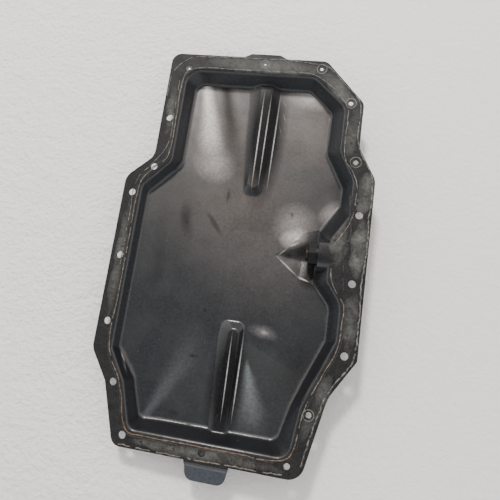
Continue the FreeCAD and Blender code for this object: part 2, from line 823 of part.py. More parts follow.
def cylinder(name, start, radius, height):
    """A round solid on the drain axis, from a place along X outwards."""
    return on_drain_axis(doc.addObject("Part::Cylinder", name), start, Radius=radius, Height=height)


def hexagon(name, start, flats, height):
    """A six-sided solid on the drain axis."""
    prism = doc.addObject("Part::Prism", name)
    prism.Polygon = 6
    return on_drain_axis(prism, start, Circumradius=flats + " / sqrt(3)", Height=height)


def cone(name, start, radius, end_radius, height):
    """A round solid on the drain axis that changes its radius."""
    item = doc.addObject("Part::Cone", name)
    return on_drain_axis(item, start, Radius1=radius, Radius2=end_radius, Height=height)


SEAT_OUT = "seat_face + sheet"
HEAD_SEAT = SEAT_OUT + " + washer_thick"
BOSS_END = "seat_face - boss_height"

drain_boss = less(
    "drain_boss",
    joined(
        "Boss_body",
        hexagon("Boss_hexagon", BOSS_END, "boss_flats", "boss_height"),
        cylinder("Boss_collar", "seat_face - boss_collar_height", "boss_collar", "boss_collar_height"),
    ),
    cylinder("Boss_thread", BOSS_END + " - sheet", "thread / 2 + thread_gap", "boss_height + sheet * 2"),
)

plug_washer = less(
    "plug_washer",
    cylinder("Washer_disc", SEAT_OUT, "washer_outer / 2", "washer_thick"),
    cylinder("Washer_hole", SEAT_OUT + " - sheet", "thread / 2 + washer_gap", "washer_thick + sheet * 2"),
)

head_shape = shared(
    "Head",
    hexagon("Head_hexagon", HEAD_SEAT, "head_flats", "head_flange_thick + head_height"),
    cone(
        "Head_bevel", HEAD_SEAT, "head_flats / 2 + (head_flange_thick + head_height) * 2", "head_flats / 2",
        "head_flange_thick + head_height",
    ),
)
drain_plug = joined(
    "drain_plug",
    cylinder("Plug_thread", BOSS_END + " - plug_nose + plug_bevel", "thread / 2",
             HEAD_SEAT + " - (" + BOSS_END + ") + plug_nose - plug_bevel"),
    cone("Plug_tip", BOSS_END + " - plug_nose", "thread / 2 - plug_bevel", "thread / 2", "plug_bevel"),
    cylinder("Head_flange", HEAD_SEAT, "head_flange / 2", "head_flange_thick"),
    head_shape,
)
drain_plug.Refine = True


# ---------------------------------------------------------------- check and save

NODES = {
    "pan_shell": pan_shell,
    "drain_boss": drain_boss,
    "plug_washer": plug_washer,
    "drain_plug": drain_plug,
}

doc.recompute()
for item in doc.Objects:
    if "Invalid" in item.State or "Error" in item.State:
        raise ValueError(item.Label + " did not build")
os.makedirs("parts", exist_ok=True)
for node, item in NODES.items():
    if item.Shape.isNull() or not item.Shape.isValid() or len(item.Shape.Solids) != 1:
        raise ValueError(node + " is not one sound solid")
    item.Shape.exportStep("parts/" + node + ".step")
    print(node, round(item.Shape.Volume), "mm3")
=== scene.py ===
import math
from types import SimpleNamespace

import bmesh
import bpy
from mathutils import Matrix, Vector, noise


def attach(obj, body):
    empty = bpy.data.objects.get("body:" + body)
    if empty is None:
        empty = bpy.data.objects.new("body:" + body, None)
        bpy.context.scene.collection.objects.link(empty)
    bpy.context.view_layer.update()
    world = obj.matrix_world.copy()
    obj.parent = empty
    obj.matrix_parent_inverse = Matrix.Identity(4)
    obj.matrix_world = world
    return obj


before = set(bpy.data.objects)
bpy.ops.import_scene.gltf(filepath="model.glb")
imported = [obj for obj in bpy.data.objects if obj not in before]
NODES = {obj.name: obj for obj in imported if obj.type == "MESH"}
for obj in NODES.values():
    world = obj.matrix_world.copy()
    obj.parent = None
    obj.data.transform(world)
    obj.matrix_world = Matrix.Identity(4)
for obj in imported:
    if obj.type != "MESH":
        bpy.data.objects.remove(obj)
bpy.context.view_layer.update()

MM = 0.001


def mm(*numbers):
    """Millimetres as metres."""
    return tuple(number * MM for number in numbers)


def rgb(red, green, blue):
    """A solid colour as a socket takes it."""
    return red, green, blue, 1.0


# ------------------------------------------------------------------ node helpers

class Tree:
    """Short calls for building one node tree."""

    # sockets of a Mix node for each kind of value: the two inputs, then the output
    MIX_SOCKETS = {"RGBA": (6, 7, 2), "FLOAT": (2, 3, 0)}

    def __init__(self, tree):
        self.tree = tree
        self.links = tree.links

    def node(self, kind, **settings):
        item = self.tree.nodes.new(kind)
        for name, value in settings.items():
            setattr(item, name, value)
        return item

    def set(self, socket, value):
        if isinstance(value, bpy.types.NodeSocket):
            self.links.new(value, socket)
        else:
            socket.default_value = value

    def math(self, operation, first, second=0.0, third=0.0):
        item = self.node("ShaderNodeMath", operation=operation)
        for socket, value in zip(item.inputs, (first, second, third)):
            self.set(socket, value)
        return item.outputs[0]

    def times(self, first, second):
        return self.math("MULTIPLY", first, second)

    def most(self, first, *others):
        for other in others:
            first = self.math("MAXIMUM", first, other)
        return first

    def vector(self, operation, first, second=None, scale=None):
        item = self.node("ShaderNodeVectorMath", operation=operation)
        self.set(item.inputs[0], first)
        if second is not None:
            self.set(item.inputs[1], second)
        if scale is not None:
            self.set(item.inputs["Scale"], scale)
        return item.outputs["Value" if operation == "DISTANCE" else "Vector"]

    def place(self):
        return self.node("ShaderNodeTexCoord").outputs["Object"]

    def split(self, value):
        item = self.node("ShaderNodeSeparateXYZ")
        self.set(item.inputs[0], value)
        return item.outputs

    def noise(self, place, scale, detail=3.0, rough=0.5, distortion=0.0, output="Fac"):
        item = self.node("ShaderNodeTexNoise")
        self.set(item.inputs["Vector"], place)
        self.set(item.inputs["Scale"], scale)
        self.set(item.inputs["Detail"], detail)
        self.set(item.inputs["Roughness"], rough)
        self.set(item.inputs["Distortion"], distortion)
        return item.outputs[output]

    def step(self, value, low, high, to_low=0.0, to_high=1.0):
        item = self.node("ShaderNodeMapRange", interpolation_type="SMOOTHSTEP")
        for socket, number in zip(item.inputs, (value, low, high, to_low, to_high)):
            self.set(socket, number)
        return item.outputs[0]

    def mix(self, factor, first, second, kind="RGBA"):
        item = self.node("ShaderNodeMix", data_type=kind)
        first_socket, second_socket, result = self.MIX_SOCKETS[kind]
        self.set(item.inputs[0], factor)
        self.set(item.inputs[first_socket], first)
        self.set(item.inputs[second_socket], second)
        return item.outputs[result]

    def bump(self, height, distance, strength=1.0, normal=None):
        item = self.node("ShaderNodeBump")
        self.set(item.inputs["Height"], height)
        self.set(item.inputs["Distance"], distance)
        self.set(item.inputs["Strength"], strength)
        if normal is not None:
            self.set(item.inputs["Normal"], normal)
        return item.outputs[0]


def material(name):
    """A new material that has only a Principled shader."""
    mat = bpy.data.materials.new(name)
    mat.use_nodes = True
    mat.node_tree.nodes.clear()
    tree = Tree(mat.node_tree)
    shader = tree.node("ShaderNodeBsdfPrincipled")
    output = tree.node("ShaderNodeOutputMaterial")
    tree.links.new(shader.outputs[0], output.inputs[0])
    return mat, tree, shader


def dress(node, mat):
    """Gives every slot of a carried-over node this material."""
    for slot in NODES[node].material_slots:
        slot.link = "OBJECT"
        slot.material = mat


# ------------------------------------------------------------------ shared effects

def group(name, inputs, output):
    """A shader node group with named inputs, each (name, kind, default), and one mask as its output."""
    tree = bpy.data.node_groups.new(name, "ShaderNodeTree")
    for label, kind, default in inputs:
        socket = tree.interface.new_socket(label, in_out="INPUT", socket_type="NodeSocket" + kind)
        if default is not None:
            socket.default_value = default
    tree.interface.new_socket(output, in_out="OUTPUT", socket_type="NodeSocketFloat")
    t = Tree(tree)
    return t, t.node("NodeGroupInput").outputs, t.node("NodeGroupOutput").inputs[output]


def use(t, tree, output, **values):
    """One use of a group; _ stands for a space in a socket's name."""
    item = t.node("ShaderNodeGroup")
    item.node_tree = tree
    for name, value in values.items():
        t.set(item.inputs[name.replace("_", " ")], value)
    return item.outputs[output]


def turned(t, given, **sources):
    """The group's place, measured from a point, along a turned axis and in units of a size."""
    mapping = t.node("ShaderNodeMapping", vector_type="TEXTURE")
    t.set(mapping.inputs["Vector"], given["Place"])
    for label, source in sources.items():
        t.set(mapping.inputs[label], given[source])
    return mapping.outputs[0]


def soft_stroke():
    """A soft long patch seen from above, strongest along its middle."""
    t, given, mask = group("soft_stroke", (
        ("Place", "Vector", None),
        ("Centre", "Vector", None),
        ("Turn", "Vector", None),
        ("Size", "Vector", None),
        ("Strength", "Float", 1.0),
    ), "Mask")
    patch = t.node("ShaderNodeTexGradient", gradient_type="SPHERICAL")
    t.set(patch.inputs["Vector"], turned(t, given, Location="Centre", Rotation="Turn", Scale="Size"))
    t.set(mask, t.times(patch.outputs["Fac"], given["Strength"]))
    return t.tree


def sheen_fan():
    """A sheen that starts narrow at a place and fans out while it fades."""
    thinnest = 0.0005
    t, given, mask = group("sheen_fan", (
        ("Place", "Vector", None),
        ("Start", "Vector", None),
        ("Turn", "Vector", None),
        ("Reach", "Float", 0.1),
        ("Narrow", "Float", 0.004),
        ("Spread", "Float", 0.2),
        ("End Strength", "Float", 0.3),
    ), "Mask")
    along, aside, _ = t.split(turned(t, given, Location="Start", Rotation="Turn"))
    half = t.most(t.math("MULTIPLY_ADD", along, given["Spread"], given["Narrow"]), thinnest)
    across = t.step(t.math("DIVIDE", t.math("ABSOLUTE", aside), half), 1.0, 0.0)
    run = t.math("DIVIDE", along, given["Reach"])
    shade = t.mix(run, 1.0, given["End Strength"], "FLOAT")
    # it begins just before its start, and fades out over the second half of its reach
    ends = t.times(t.step(run, -0.12, 0.06), t.step(run, 1.0, 0.5))
    t.set(mask, t.times(t.times(across, shade), ends))
    return t.tree


def seat_ring():
    """A wavy ring, as a bolt's head leaves on a flange."""
    waviness = 0.0012
    t, given, ring = group("seat_ring", (
        ("Place", "Vector", None),
        ("Centre", "Vector", None),
        ("Radius", "Float", 0.007),
        ("Line", "Float", 0.0006),
    ), "Ring")
    flat = t.vector("MULTIPLY", given["Place"], (1, 1, 0))
    away = t.vector("DISTANCE", flat, given["Centre"])
    wavy = t.math("MULTIPLY_ADD", t.noise(given["Place"], scale=300.0, detail=2.0), waviness)
    off = t.math("ABSOLUTE", t.math("SUBTRACT", t.math("ADD", away, wavy), given["Radius"]))
    t.set(ring, t.step(t.math("DIVIDE", off, given["Line"]), 1.0, 0.2))
    return t.tree


STROKE = soft_stroke()
FAN = sheen_fan()
RING = seat_ring()

# a stroke fades towards its edge, so it starts stronger than its row says and reaches past its two ends
STROKE_GAIN = 1.2
STROKE_OVERRUN = 0.6
ANY_HEIGHT = 100.0


def aimed(start, aim):
    """Turn about Z that points from start to aim."""
    return 0, 0, math.atan2(aim[1] - start[1], aim[0] - start[0])


def strokes(t, place, rows):
    """The strongest of several soft strokes: x and y of both ends, width and strength, in millimetres."""
    masks = []
    for x0, y0, x1, y1, width, strength in rows:
        half = math.hypot(x1 - x0, y1 - y0) / 2 + width * STROKE_OVERRUN
        masks.append(use(
            t, STROKE, "Mask", Place=place, Centre=mm((x0 + x1) / 2, (y0 + y1) / 2, 0),
            Turn=aimed((x0, y0), (x1, y1)), Size=(half * MM, width * MM, ANY_HEIGHT),
            Strength=STROKE_GAIN * strength,
        ))
    return t.most(*masks)


def fan(t, place, start, aim, narrow, wide, last, reach=None):
    """A sheen from start towards aim, in millimetres, with last as its strength at the end."""
    reach = reach or math.dist(start, aim)
    return use(
        t, FAN, "Mask", Place=place, Start=mm(*start, 0), Turn=aimed(start, aim), Reach=reach * MM,
        Narrow=narrow * MM, Spread=(wide - narrow) / reach, End_Strength=last,
    )


def shaken(t, place, scale, amount):
    """The place moved to and fro a little, so that what is painted there has uneven edges."""
    push = t.vector("SUBTRACT", t.noise(place, scale, detail=2.0, output="Color"), (0.5, 0.5, 0.5))
    return t.vector("ADD", place, t.vector("SCALE", push, scale=amount))


# ------------------------------------------------------------------ black paint of the pan

# A row of strokes gives x and y of both ends, width and strength, in millimetres and seen from above.

# painted highlight: sheen of the floor where the sheet leans towards the light: start, aim, narrow, wide,
# end strength, share
FANS = (
    ((-60, 203), (-36, 88), 5.5, 25, 0.35, 1.0),
    ((-61, 202), (-50, 150), 3.0, 9, 0.3, 1.3),
    ((-66, -152), (-18, -52), 5, 24, 0.15, 0.1),
    ((25, -88), (42, -158), 4, 28, 0.3, 0.24),
)
# a painted dark reflection between two of them, fanning out, which runs on past its aim
DARK_FAN = ((-41, 207), (-11, 92), 11, 18.5, 0.5)
DARK_FAN_REACH = 125
DARK_FAN_SHARE = 0.92
# small soft patches of the same painted sheen
SHEEN_STREAKS = (
    (24, -53, 48, -57, 7.5, 0.14),
    (33, -55, 41, -56, 4, 0.3),
    (54, 38, 60, 42, 3.5, 0.85),
    (46, 38, 62, 48, 13, 0.6),
    (44, 50, 62, 60, 24, 0.21),
    (80, 62, 92, 78, 10, 0.25),
    (36, 190, 72, 186, 13, 0.375),
    (-48, 118, -28, 102, 22, 0.3),
    (-78, 196, -79, 150, 3, 0.25),
    (-47, 104, -45, 100, 5, 0.25),
    (-100, -92, -84, -116, 3, 0.35),
)
# broad patches of the upper floor: oil film, lightened as a painted reflection of the room
OIL_AND_SHEEN_PATCHES = (
    (55, 185, 58, 130, 62.5, 0.65),
    (-45, 190, -38, 112, 56, 0.8),
    (52, 195, 56, 160, 40, 0.5),
    (-20, 100, 20, 40, 87.5, 0.5),
    (40, 70, 20, -10, 75, 0.35),
)
# broad painted dark reflections beside the streaks, as bands
BANDS = (
    (-80, 190, -80, 120, 11, 0.5),
    (-98, 70, -98, -80, 26, 1.05),
    (-82, 30, -78, -30, 10.5, 0.6),
    (-60, 66, -52, 24, 8, 0.5),
    (100, 80, 95, 100, 15, 0.55),
    (78, 180, 88, 130, 12, 0.65),
    (84, -40, 66, -120, 24, 0.3),
)
# the two beads, darker than the floor around them as painted shade
RIBS = (
    (11.5, 214, 11.5, 76, 23.5, 1.6),
    (7, -54, 8, -160, 20.5, 1.45),
)
# places that are matt and carry painted shade: the drain hollow and the raised nose
DULL_AND_SHADED = (
    (54, 25, 76, 33, 11, 1.1),
    (46, 21, 56, 26, 6, 0.85),
    (70, 4, 80, 1, 13, 1.3),
    (82, 22, 92, 22, 16, 0.35),
    (58, 9, 66, 10, 10, 0.4),
)
# painted highlights along the rims of the drain hollow
RIM_HIGHLIGHTS = (
    (39, 21, 62, 3, 1.1, 0.6),
    (62, 3, 74, -1, 1.1, 0.8),
    (40, 21.5, 50, 31, 1.1, 0.375),
    (49, 31, 60, 37.5, 1.3, 0.8),
)
# painted highlights along the crests of the two beads and of the lower left corner
CREST_HIGHLIGHTS = (
    (4.8, 196, 4.8, 81, 0.9, 0.85),
    (12.5, 196, 11.3, 84, 0.8, 0.75),
    (21.6, 196, 20.2, 83, 0.9, 0.65),
    (-98, -92, -84, -118, 1, 0.7),
    (7, -56, 8.6, -144, 0.75, 0.65),
    (17.6, -56, 18.2, -144, 0.85, 0.75),
)
# dark scuffs and smears
SCUFFS = (
    (-38, 58, -19, 35, 3.645, 1.445),
    (-18, 85, -20, 69, 2.565, 1.02),
    (-61, 60, -59, 36, 7.425, 0.81),
    (-34, -87, -22, -87, 1.825, 0.935),
    (-88, -78, -85, -84, 3.04, 0.935),
    (-24, -41, -24, -43, 2.6, 1.4),
    (-102, -70, -99, -75, 2.2, 1.2),
    (-42, -141, -33, -142, 2.565, 0.935),
    (53, 110, 58, 112, 1.35, 0.85),
    (49, 66, 50, 62, 1.89, 0.85),
    (-50, -99, -51, -101, 1.35, 0.85),
)
# light hair lines
SCRATCHES = (
    (24, 186, 30, 176, 0.45, 0.4),
    (26, 172, 31, 160, 0.45, 0.45),
    (24, 158, 28, 146, 0.4, 0.3),
    (-52, 112, -38, 96, 0.5, 0.4),
    (-58, 104, -44, 90, 0.4, 0.3),
)
# grey film that the sealant left on the flange
VEILS = (
    (-52, 213, 60, 211, 9.5, 0.525),
    (66, 206, 98, 176, 8, 0.575),
    (100, 168, 98, 126, 7, 0.325),
    (96, 58, 98, 20, 9, 0.6),
    (118, 104, 117, 70, 9, 1),
    (116, 60, 115, 8, 8, 1.15),
    (114, -14, 116, -60, 7, 0.525),
    (104, -84, 84, -140, 6, 0.35),
    (-70, -169, 70, -168, 5.5, 0.475),
    (-88, 180, -88, 130, 5, 0.35),
    (-113, 60, -113, -60, 5, 0.3),
)
# rings that bolt heads left on the flange: x, y, radius
RINGS = ((94, 177.5, 5.6), (104.5, 117, 5.8), (61.5, 212.5, 5.4), (3, 214.5, 4.8), (87.5, -120, 5.4))

# where one part of the pan gives way to the next: none of it at the first height, all of it at the second
FLOOR_HEIGHTS = mm(-12.5, -15.5)
FLANGE_HEIGHTS = mm(-2.4, -0.8)
INSIDE_HEIGHTS = mm(-6, -9)
WALL_HEIGHTS = mm(-16, -6)
RIM_HEIGHTS = mm(-1, -4)
# the same along Y, for the tab at the bottom and for the cooler light on the lower floor
TAB_START = mm(-176, -180)
COOL_START = mm(-60, -85)
# the same for how far a face looks upward, from 0 for a wall to 1 for a level sheet
FLOOR_FACING = (0.86, 0.97)
FLANGE_FACING = (0.75, 0.95)
INSIDE_FACING = (0.3, 0.6)
LEVEL_FACING = (0.7, 0.93)

GLOSSY_SPECULAR = 0.5
MATT_SPECULAR = 0.08
FLANGE_SPECULAR = 0.1
PAINT_COAT = 0.3

# painted shade of the walls: darker low down, darkest on the walls that face the top
WALL_LOW_SHADED = rgb(0.012, 0.0135, 0.0165)
WALL_HIGH = rgb(0.022, 0.0235, 0.027)
WALL_SHADED_TOWARDS_TOP = rgb(0.003, 0.0035, 0.005)
PAINT_DARK = rgb(0.014, 0.0158, 0.0172)
PAINT_LIGHT = rgb(0.024, 0.0255, 0.028)
TAB_PAINT = rgb(0.042, 0.047, 0.057)
# oil film on the floor, lightened as a painted reflection of the room
OIL_AND_SHEEN_DARK = rgb(0.062, 0.051, 0.047)
OIL_AND_SHEEN_LIGHT = rgb(0.110, 0.093, 0.086)
# colours of the painted sheen, warm above and cool on the lower floor
SHEEN_WARM = rgb(0.62, 0.575, 0.555)
SHEEN_COOL = rgb(0.42, 0.47, 0.475)
# colour of the painted dark reflections on the floor
PAINTED_DARK_REFLECTION = rgb(0.014, 0.013, 0.012)
# colour of the painted shade in the drain hollow and on the nose
PAINTED_HOLLOW_SHADE = rgb(0.016, 0.015, 0.015)
RIB_SHADE = rgb(0.009, 0.009, 0.010)
# colour of the painted highlights on crests and rims
PAINTED_HIGHLIGHT = rgb(0.50, 0.50, 0.49)
SCRATCH_LIGHT = rgb(0.3, 0.28, 0.26)
SCUFF_DARK = rgb(0.010, 0.009, 0.009)
VEIL_DARK = rgb(0.060, 0.061, 0.056)
VEIL_LIGHT = rgb(0.175, 0.175, 0.162)
FLANGE_DARK = rgb(0.010, 0.010, 0.011)
FLANGE_LIGHT = rgb(0.030, 0.030, 0.030)
MARK_DARK = rgb(0.008, 0.008, 0.008)
RING_GREY = rgb(0.17, 0.17, 0.155)
SPECK_LIGHT = rgb(0.22, 0.21, 0.19)


def pan_places(t):
    """Where a point of the pan lies, what it faces, and the clouds that break its coats up."""
    where = t.place()
    _, y, z = t.split(where)
    _, towards_top, upward = t.split(t.node("ShaderNodeNewGeometry").outputs["Normal"])
    return SimpleNamespace(
        where=where, y=y, z=z, towards_top=towards_top, upward=upward,
        on_floor=t.times(t.step(z, *FLOOR_HEIGHTS), t.step(upward, *FLOOR_FACING)),
        on_flange=t.times(t.step(z, *FLANGE_HEIGHTS), t.step(upward, *FLANGE_FACING)),
        grain=t.noise(where, scale=900.0, detail=4.0, rough=0.6),
        cloud=t.noise(where, scale=28.0, rough=0.55),
        blotch=t.noise(where, scale=75.0, detail=4.0, rough=0.6, distortion=0.6),
        shaken=shaken(t, where, scale=60.0, amount=3 * MM),
    )


def bare_paint(t, pan):
    """Black paint, and the bluer tab; painted shade makes the walls darker low down and darkest where they
    face the top.
    """
    # painted shade: the walls darker low down and darkest where they face the top
    walls = t.mix(t.step(pan.z, *WALL_HEIGHTS), WALL_LOW_SHADED, WALL_HIGH)
    walls = t.mix(t.step(pan.towards_top, -0.1, 0.5), walls, WALL_SHADED_TOWARDS_TOP)
    paint = t.mix(pan.cloud, PAINT_DARK, PAINT_LIGHT)
    colour = t.mix(t.step(pan.upward, *LEVEL_FACING), walls, paint)
    return t.mix(t.step(pan.y, *TAB_START), colour, TAB_PAINT)


def floor_sheen(t, pan, colour):
    """Oil film lightened by a painted reflection, painted streaks of sheen and the painted dark reflections
    beside them.
    """
    # oil film, lightened on the upper floor as a painted reflection of the room
    oil_and_sheen = t.times(strokes(t, pan.shaken, OIL_AND_SHEEN_PATCHES), pan.on_floor)
    colour = t.mix(oil_and_sheen, colour, t.mix(pan.blotch, OIL_AND_SHEEN_DARK, OIL_AND_SHEEN_LIGHT))

    # painted highlights: streaks and fans of sheen in the floor's colour
    streak = strokes(t, pan.shaken, SHEEN_STREAKS)
    for *shape, share in FANS:
        streak = t.most(streak, t.times(fan(t, pan.shaken, *shape), share))
    streak = t.times(streak, pan.on_floor)
    pan.broken_streak = t.times(streak, t.step(pan.blotch, 0.2, 0.7, to_low=0.82))
    sheen = t.mix(t.step(pan.y, *COOL_START), SHEEN_WARM, SHEEN_COOL)
    colour = t.mix(pan.broken_streak, colour, sheen)

    # painted dark reflection: a fan and bands beside the streaks of sheen
    shade = fan(t, pan.shaken, *DARK_FAN, reach=DARK_FAN_REACH)
    shade = t.times(shade, DARK_FAN_SHARE)
    pan.band = t.times(t.most(strokes(t, pan.shaken, BANDS), shade), pan.on_floor)
    return t.mix(pan.band, colour, PAINTED_DARK_REFLECTION)


def floor_marks(t, pan, colour):
    """Painted shade on hollow, nose and beads, painted highlights on crests and rims, hair lines and
    scuffs.
    """
    # painted shade in the drain hollow and on the nose, which also stay matt
    pan.dull = strokes(t, pan.shaken, DULL_AND_SHADED)
    colour = t.mix(t.times(pan.dull, 0.85), colour, PAINTED_HOLLOW_SHADE)
    inside = t.times(t.step(pan.z, *INSIDE_HEIGHTS), t.step(pan.upward, *INSIDE_FACING))
    # painted shade on the two beads
    pan.ribs = strokes(t, pan.where, RIBS)
    colour = t.mix(t.times(pan.ribs, inside), colour, RIB_SHADE)
    # painted highlights on the crests of the beads and the rims of the hollow
    crest_highlight = t.times(strokes(t, pan.where, CREST_HIGHLIGHTS + RIM_HIGHLIGHTS), inside)
    colour = t.mix(crest_highlight, colour, PAINTED_HIGHLIGHT)
    scratch = t.times(strokes(t, pan.where, SCRATCHES), pan.on_floor)
    colour = t.mix(scratch, colour, SCRATCH_LIGHT)
    scuff = t.times(strokes(t, pan.shaken, SCUFFS), pan.on_floor)
    return t.mix(scuff, colour, SCUFF_DARK)


def flange_film(t, pan, colour):
    """Thin grey film of sealant on the flange, in patches, with dark marks and the rings of bolt heads."""
    broad = t.noise(pan.where, scale=40.0, detail=2.0)
    uneven = t.math("ADD", t.times(pan.blotch, 0.6), t.times(broad, 0.5))
    pan.patch = t.step(uneven, 0.42, 0.68, to_low=0.25)
    grey = t.mix(t.noise(pan.where, scale=140.0), VEIL_DARK, VEIL_LIGHT)
    veil = t.math("SQRT", strokes(t, shaken(t, pan.where, scale=40.0, amount=12 * MM), VEILS))
    veil = t.times(t.times(veil, pan.patch), pan.on_flange)
    flange = t.mix(t.noise(pan.where, scale=90.0), FLANGE_DARK, FLANGE_LIGHT)
    colour = t.mix(pan.on_flange, colour, flange)
    colour = t.mix(veil, colour, grey)

    rings = t.most(*[
        use(t, RING, "Ring", Place=pan.where, Centre=mm(x, y, 0), Radius=radius * MM)
        for x, y, radius in RINGS
    ])
    marks = t.noise(pan.where, scale=190.0, detail=4.0, rough=0.7, distortion=0.8)
    marks = t.times(t.step(marks, 0.60, 0.66), pan.on_flange)
    colour = t.mix(t.times(marks, 0.8), colour, MARK_DARK)
    rings = t.times(rings, t.step(pan.blotch, 0.3, 0.6, to_low=0.25, to_high=0.9))
    return t.mix(t.times(rings, pan.on_flange), colour, RING_GREY)


def dust(t, pan, colour):
    """Fine unevenness over the whole pan, with light specks."""
    fine = t.noise(pan.where, scale=420.0, detail=5.0, rough=0.7)
    dusty = t.step(fine, 0.35, 0.65, to_low=0.78, to_high=1.22)
    speck = t.step(t.noise(pan.where, scale=700.0, detail=1.0), 0.74, 0.8)
    return t.mix(t.times(speck, 0.35), t.vector("SCALE", colour, scale=dusty), SPECK_LIGHT)


def pan_gloss(t, pan, shader):
    """Glossy floor, rougher painted sheen streaks and flange; beads, dark reflection bands, hollow and
    walls stay matt.
    """
    rough = t.step(pan.cloud, 0.3, 0.7, to_low=0.24, to_high=0.34)
    rough = t.mix(pan.broken_streak, rough, 0.38, "FLOAT")
    rough = t.mix(pan.on_flange, rough, t.mix(pan.patch, 0.38, 0.6, "FLOAT"), "FLOAT")
    t.set(shader.inputs["Roughness"], rough)

    low_wall = t.times(t.step(pan.towards_top, 0.3, 0.6), t.step(pan.z, *RIM_HEIGHTS, to_high=0.6))
    any_wall = t.step(pan.upward, 0.8, 0.6, to_high=0.45)
    matt = t.most(pan.ribs, pan.dull, pan.band, low_wall, any_wall)
    specular = t.mix(matt, GLOSSY_SPECULAR, MATT_SPECULAR, "FLOAT")
    specular = t.mix(pan.on_flange, specular, FLANGE_SPECULAR, "FLOAT")
    t.set(shader.inputs["Specular IOR Level"], specular)
    coat = t.mix(t.most(pan.on_flange, matt), PAINT_COAT, 0.0, "FLOAT")
    t.set(shader.inputs["Coat Weight"], coat)
    t.set(shader.inputs["Coat Roughness"], 0.16)


def pan_relief(t, pan, shader):
    """Slow waves of the pressed sheet, and the grain of its paint."""
    wave = t.bump(t.noise(pan.where, scale=16.0, detail=2.0, rough=0.4), 1.2 * MM, 0.5)
    t.set(shader.inputs["Normal"], t.bump(pan.grain, 0.04 * MM, 0.6, wave))


def pan_black_paint():
    mat, t, shader = material("pan_black_paint")
    pan = pan_places(t)
    colour = bare_paint(t, pan)
    for coat in (floor_sheen, floor_marks, flange_film, dust):
        colour = coat(t, pan, colour)
    t.set(shader.inputs["Base Color"], colour)
    pan_gloss(t, pan, shader)
    pan_relief(t, pan, shader)
    return mat


# ------------------------------------------------------------------ boss, plug and washer

def boss_black_paint():
    mat, t, shader = material("boss_black_paint")
    cloud = t.noise(t.place(), scale=200.0, rough=0.55)
    t.set(shader.inputs["Base Color"], t.mix(cloud, rgb(0.006, 0.006, 0.007), rgb(0.010, 0.010, 0.010)))
    t.set(shader.inputs["Roughness"], t.step(cloud, 0.3, 0.7, to_low=0.22, to_high=0.4))
    t.set(shader.inputs["Specular IOR Level"], 0.15)
    t.set(shader.inputs["Coat Weight"], 0.08)
    t.set(shader.inputs["Coat Roughness"], 0.12)
    return mat


def plug_steel():
    """Bare steel, darker in the boss, with the thread as a wave along X."""
    # a wave texture runs through 20 radians per metre for each 1 of its scale: a pitch of 1.5 mm
    thread_scale = 209.4
    in_boss = mm(80.5, 79)
    thread_start = mm(82.5, 82)
    mat, t, shader = material("plug_steel")
    where = t.place()
    x = t.split(where)[0]
    cloud = t.noise(where, scale=300.0)
    steel = t.mix(cloud, rgb(0.10, 0.095, 0.085), rgb(0.26, 0.25, 0.23))
    t.set(shader.inputs["Base Color"], t.mix(t.step(x, *in_boss), steel, rgb(0.05, 0.045, 0.04)))
    t.set(shader.inputs["Metallic"], 1.0)
    t.set(shader.inputs["Roughness"], t.step(cloud, 0.3, 0.7, to_low=0.25, to_high=0.45))
    thread = t.node("ShaderNodeTexWave", wave_type="BANDS", bands_direction="X")
    t.set(thread.inputs["Vector"], where)
    t.set(thread.inputs["Scale"], thread_scale)
    height = t.times(thread.outputs["Fac"], t.step(x, *thread_start))
    t.set(shader.inputs["Normal"], t.bump(height, 0.6 * MM, 0.8))
    return mat


def washer_aluminium():
    mat, t, shader = material("washer_aluminium")
    cloud = t.noise(t.place(), scale=500.0)
    t.set(shader.inputs["Base Color"], t.mix(cloud, rgb(0.45, 0.44, 0.42), rgb(0.62, 0.61, 0.6)))
    t.set(shader.inputs["Metallic"], 1.0)
    t.set(shader.inputs["Roughness"], 0.45)
    return mat


dress("pan_shell", pan_black_paint())
dress("drain_boss", boss_black_paint())
dress("drain_plug", plug_steel())
dress("plug_washer", washer_aluminium())


# ------------------------------------------------------------------ remains of sealant on the flange

def sealant(name, light, dark):
    mat, t, shader = material(name)
    where = t.place()
    tone = t.noise(where, scale=260.0, detail=4.0, rough=0.65)
    t.set(shader.inputs["Base Color"], t.mix(t.step(tone, 0.35, 0.65), dark, light))
    t.set(shader.inputs["Roughness"], t.step(tone, 0.3, 0.7, to_low=0.45, to_high=0.7))
    t.set(shader.inputs["Normal"], t.bump(t.noise(where, scale=900.0), 0.08 * MM))
    return mat


SEALANT_TAN = sealant("sealant_tan", rgb(0.17, 0.148, 0.118), rgb(0.035, 0.03, 0.025))
SEALANT_RUST = sealant("sealant_rust", rgb(0.15, 0.092, 0.055), rgb(0.04, 0.027, 0.02))
SEALANT_GREY = sealant("sealant_grey", rgb(0.17, 0.175, 0.148), rgb(0.020, 0.021, 0.019))
SEALANT_DARK = sealant("sealant_dark", rgb(0.020, 0.020, 0.020), rgb(0.008, 0.008, 0.008))
SEALANT_PLUG = sealant("sealant_plug", rgb(0.085, 0.085, 0.078), rgb(0.02, 0.02, 0.02))

# how far apart the sections of a line of sealant lie, in millimetres
SECTION_GAP = 0.9
# a section of the line: share of its half width, share of its height
SECTION = ((-1.0, -0.15), (-0.75, 0.45), (-0.1, 1.0), (0.65, 0.5), (1.0, -0.15))
# the noise that makes the line uneven: its size along the line, and how far apart two seeds lie in it
LUMP_PITCH = 0.11
SEED_STEP = 7.3
# how much finer it is for each thing that it changes, and where that thing's own noise starts
BREAK_PITCH, BREAK_START = 1.3, Vector((0, 0, 3.1))
WANDER_PITCH, WANDER_START = 2.0, Vector((0, 9, 0))
HEIGHT_PITCH, HEIGHT_START = 6.0, Vector((5, 0, 0))
# the width has coarse and fine lumps: how much finer, and their share
WIDTH_LUMPS = ((3.0, 0.6), (9.0, 0.4))
